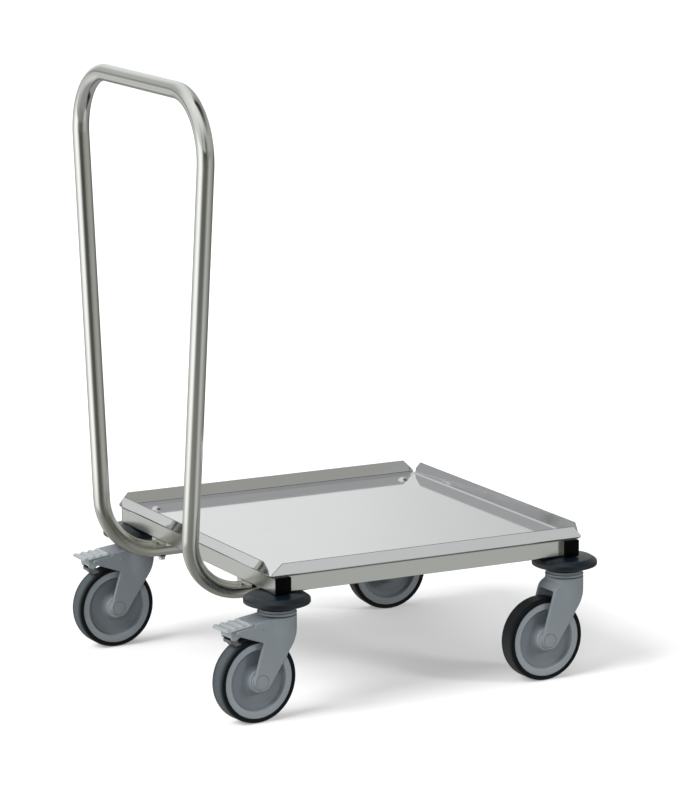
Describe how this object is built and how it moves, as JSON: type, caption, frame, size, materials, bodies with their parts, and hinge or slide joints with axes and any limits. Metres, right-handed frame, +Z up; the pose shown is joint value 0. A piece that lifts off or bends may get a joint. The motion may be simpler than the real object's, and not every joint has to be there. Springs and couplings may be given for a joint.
{
  "type": "dish rack dolly",
  "caption": "Low square steel dolly with a shallow flanged tray, swivel casters with wheel brakes, round corner bumpers and a bent push handle.",
  "frame": {"origin": "On the floor, under the middle of the whole outline: midway between the back of the handle and the front bumpers, and midway between the left and right bumpers.", "axes": "+Z up; +X from the handle end towards the front end; +Y to the left of someone who pushes by the handle."},
  "size_m": [0.6345, 0.571, 0.908],
  "materials": {
    "deck_steel": "bright satin stainless sheet",
    "frame_steel": "satin stainless square tube",
    "handle_steel": "polished stainless round tube",
    "bright_bolts": "polished domed heads",
    "zinc_hardware": "zinc-plated steel",
    "fork_metal": "smooth grey plated sheet steel",
    "rim_plastic": "smooth grey plastic",
    "tyre_rubber": "dark blue-black rubber",
    "bumper_rubber": "smooth dark slate rubber",
    "plug_plastic": "black plastic"
  },
  "bodies": {
    "chassis": {"tray": "deck_steel", "end_tube_rear": "frame_steel", "end_tube_front": "frame_steel", "side_rail_left": "frame_steel", "side_rail_right": "frame_steel", "cross_rail": "frame_steel", "corner_gussets": "frame_steel", "tube_plugs": "plug_plastic", "tray_bolts": "bright_bolts", "tray_nuts": "zinc_hardware", "handle_tube": "handle_steel", "handle_plugs": "plug_plastic", "handle_saddles": "handle_steel", "handle_bolts": "zinc_hardware", "handle_washers": "zinc_hardware", "handle_nuts": "zinc_hardware", "caster_bolts": "zinc_hardware", "caster_nuts": "zinc_hardware", "keeper_washers": "zinc_hardware", "bumper_rear_left": "bumper_rubber", "bumper_rear_right": "bumper_rubber", "bumper_front_right": "bumper_rubber", "bumper_front_left": "bumper_rubber", "swivel_head_rear_left": "fork_metal", "swivel_head_rear_right": "fork_metal", "swivel_head_front_right": "fork_metal", "swivel_head_front_left": "fork_metal"},
    "caster_rear_left": {"fork_rear_left": "fork_metal", "axle_rear_left": "fork_metal", "hub_sleeve_rear_left": "zinc_hardware", "swivel_balls_rear_left": "zinc_hardware", "brake_pin_rear_left": "zinc_hardware", "brake_spring_rear_left": "zinc_hardware"},
    "wheel_rear_left": {"wheel_core_rear_left": "rim_plastic", "tyre_rear_left": "tyre_rubber"},
    "caster_rear_right": {"fork_rear_right": "fork_metal", "axle_rear_right": "fork_metal", "hub_sleeve_rear_right": "zinc_hardware", "swivel_balls_rear_right": "zinc_hardware", "brake_pin_rear_right": "zinc_hardware", "brake_spring_rear_right": "zinc_hardware"},
    "wheel_rear_right": {"wheel_core_rear_right": "rim_plastic", "tyre_rear_right": "tyre_rubber"},
    "caster_front_right": {"fork_front_right": "fork_metal", "axle_front_right": "fork_metal", "hub_sleeve_front_right": "zinc_hardware", "swivel_balls_front_right": "zinc_hardware"},
    "wheel_front_right": {"wheel_core_front_right": "rim_plastic", "tyre_front_right": "tyre_rubber"},
    "caster_front_left": {"fork_front_left": "fork_metal", "axle_front_left": "fork_metal", "hub_sleeve_front_left": "zinc_hardware", "swivel_balls_front_left": "zinc_hardware"},
    "wheel_front_left": {"wheel_core_front_left": "rim_plastic", "tyre_front_left": "tyre_rubber"},
    "brake_rear_left": {"brake_pedal_rear_left": "fork_metal", "brake_shoe_rear_left": "zinc_hardware"},
    "brake_rear_right": {"brake_pedal_rear_right": "fork_metal", "brake_shoe_rear_right": "zinc_hardware"}
  },
  "joints": [
    {"name": "swivel_rear_left", "type": "hinge", "parent": "chassis", "child": "caster_rear_left", "pos_m": [-0.21025, 0.237, 0.155], "axis": [0, 0, 1], "continuous": true},
    {"name": "roll_rear_left", "type": "hinge", "parent": "caster_rear_left", "child": "wheel_rear_left", "pos_m": [-0.24924, 0.23632, 0.0625], "axis": [-0.0175, 0.9998, 0], "continuous": true},
    {"name": "swivel_rear_right", "type": "hinge", "parent": "chassis", "child": "caster_rear_right", "pos_m": [-0.21025, -0.237, 0.155], "axis": [0, 0, 1], "continuous": true},
    {"name": "roll_rear_right", "type": "hinge", "parent": "caster_rear_right", "child": "wheel_rear_right", "pos_m": [-0.2491, -0.2404, 0.0625], "axis": [-0.0872, 0.9962, 0], "continuous": true},
    {"name": "swivel_front_right", "type": "hinge", "parent": "chassis", "child": "caster_front_right", "pos_m": [0.26875, -0.237, 0.155], "axis": [0, 0, 1], "continuous": true},
    {"name": "roll_front_right", "type": "hinge", "parent": "caster_front_right", "child": "wheel_front_right", "pos_m": [0.22977, -0.23836, 0.0625], "axis": [-0.0349, 0.9994, 0], "continuous": true},
    {"name": "swivel_front_left", "type": "hinge", "parent": "chassis", "child": "caster_front_left", "pos_m": [0.26875, 0.237, 0.155], "axis": [0, 0, 1], "continuous": true},
    {"name": "roll_front_left", "type": "hinge", "parent": "caster_front_left", "child": "wheel_front_left", "pos_m": [0.22996, 0.24108, 0.0625], "axis": [0.1045, 0.9945, 0], "continuous": true},
    {"name": "brake_rear_left", "type": "hinge", "parent": "caster_rear_left", "child": "brake_rear_left", "pos_m": [-0.28524, 0.23569, 0.14], "axis": [0.0175, -0.9998, 0], "range_deg": [0, 12]},
    {"name": "brake_rear_right", "type": "hinge", "parent": "caster_rear_right", "child": "brake_rear_right", "pos_m": [-0.28497, -0.24354, 0.14], "axis": [0.0872, -0.9962, 0], "range_deg": [0, 12]}
  ]
}
